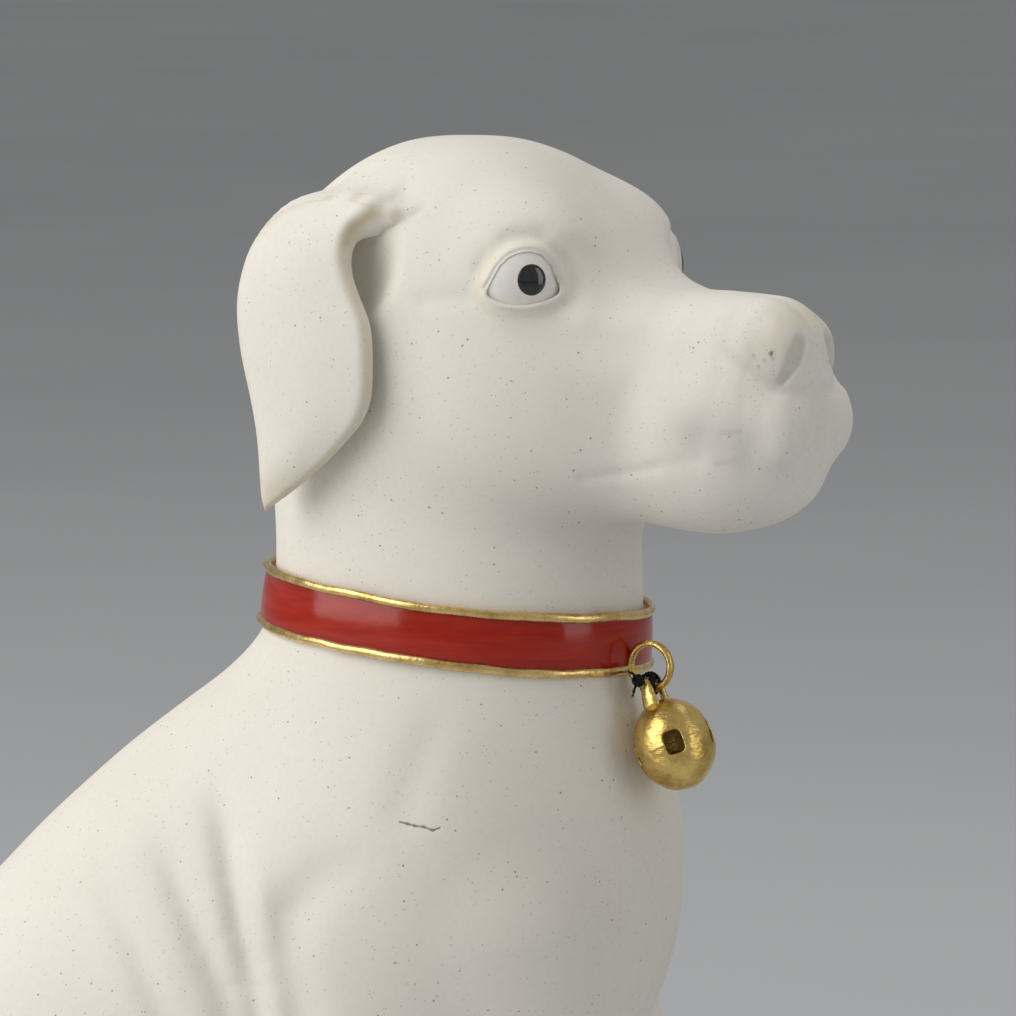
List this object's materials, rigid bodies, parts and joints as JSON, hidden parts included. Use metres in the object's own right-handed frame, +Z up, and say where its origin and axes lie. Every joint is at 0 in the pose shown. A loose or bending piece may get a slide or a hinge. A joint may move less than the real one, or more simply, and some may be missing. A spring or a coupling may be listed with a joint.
{
  "type": "seated dog figure",
  "caption": "Seated hound ornament in unglazed white ceramic, with a red enamelled collar edged in gilt beads and a gilt rattle bell that swings on a ring.",
  "frame": {"origin": "on the ground, in the flat underside of the seat", "axes": "+Z up, the dog faces -Y, its right side is at -X"},
  "size_m": [0.1428, 0.2622, 0.2841],
  "materials": {
    "bisque": "unglazed matt, fine dark specks",
    "eye_white": "unglazed, rubbed smooth",
    "black_glaze": "black gloss glaze",
    "red_enamel": "glossy iron red enamel",
    "gilt_clay": "hand gilded, burnished",
    "gilt_brass": "gilded, dented and worn",
    "black_thread": "black sewing thread"
  },
  "bodies": {
    "figure": {"torso": "bisque", "head": "bisque", "right_ear": "bisque", "left_ear": "bisque", "right_eyeball": "eye_white", "left_eyeball": "eye_white", "right_pupil": "black_glaze", "left_pupil": "black_glaze", "right_foreleg": "bisque", "left_foreleg": "bisque", "right_haunch": "bisque", "left_haunch": "bisque", "tail": "bisque", "collar_band": "red_enamel", "collar_upper_bead": "gilt_clay", "collar_lower_bead": "gilt_clay", "collar_ring": "gilt_brass"},
    "thread": {"tie_thread": "black_thread"},
    "bell": {"bell_upper_half": "gilt_brass", "bell_lower_half": "gilt_brass", "bell_lug": "gilt_brass"},
    "pellet": {"bell_pellet": "gilt_brass"}
  },
  "joints": [
    {"name": "bell_swing_side", "type": "hinge", "parent": "figure", "child": "thread", "pos_m": [-0.01468, -0.09864, 0.17633], "axis": [-0.3256, -0.9455, 0], "range_deg": [-30, 30]},
    {"name": "bell_swing_forward", "type": "hinge", "parent": "thread", "child": "bell", "pos_m": [-0.01468, -0.09864, 0.17813], "axis": [-0.9455, 0.3256, 0], "range_deg": [0, 40]},
    {"name": "pellet_roll", "type": "hinge", "parent": "bell", "child": "pellet", "pos_m": [-0.01676, -0.10467, 0.16346], "axis": [-0.9455, 0.3256, 0], "range_deg": [-60, 60]}
  ]
}
